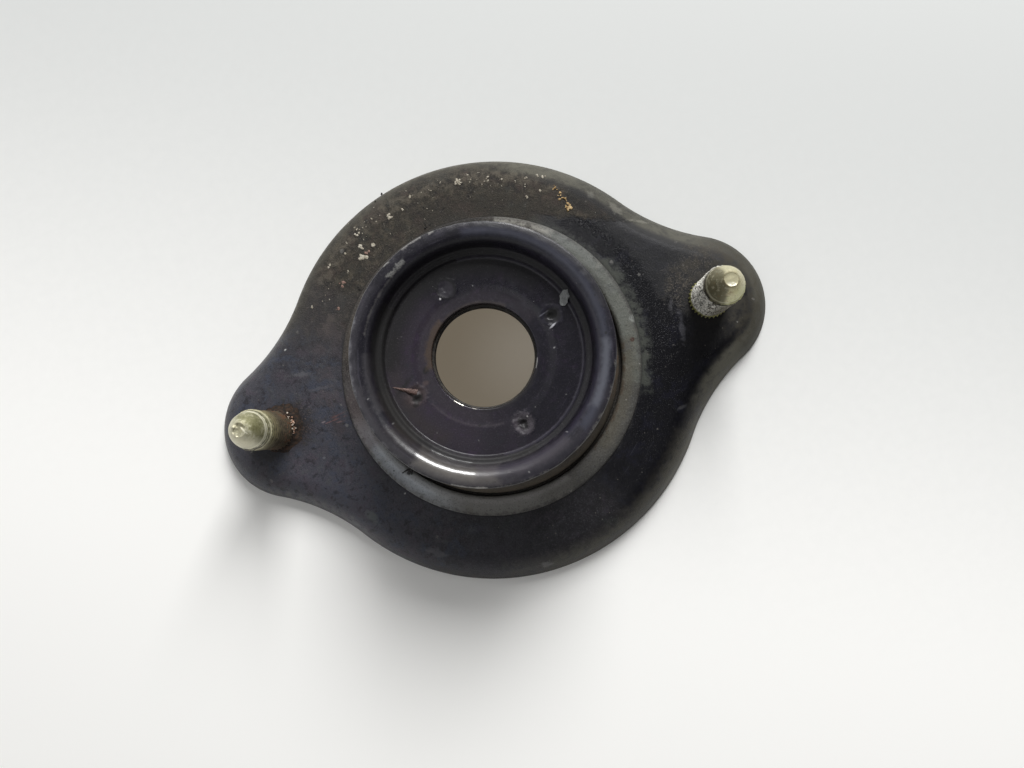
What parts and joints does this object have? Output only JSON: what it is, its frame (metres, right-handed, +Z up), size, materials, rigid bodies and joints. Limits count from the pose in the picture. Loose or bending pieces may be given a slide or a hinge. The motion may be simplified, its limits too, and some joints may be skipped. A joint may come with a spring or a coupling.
{
  "type": "shock absorber bracket",
  "caption": "Oval pressed-steel upper bracket for a shock absorber, with a threaded stud in each ear and a raised centre cup held in a ring of rubber.",
  "frame": {"origin": "on the axis of the tower, in the plane of the mount plate's lower edge, which is what the part rests on", "axes": "+Z up along the studs, +X from the left stud towards the right stud"},
  "size_m": [0.148, 0.1108, 0.0361],
  "materials": {
    "plate_paint": "worn semi-gloss black paint over pressed steel, dusty",
    "tower_paint": "worn satin black paint with rust in the corners",
    "cup_paint": "worn gloss black paint, rubbed bright along the rim",
    "rubber": "aged grey rubber, satin",
    "stud_plating": "dull yellowish zinc plating, corroded at the root"
  },
  "bodies": {
    "root": {"mount_plate": "plate_paint", "support_tower": "tower_paint", "bushing_cup": "cup_paint", "rubber_isolator": "rubber", "stud_left": "stud_plating", "stud_right": "stud_plating"}
  },
  "joints": []
}
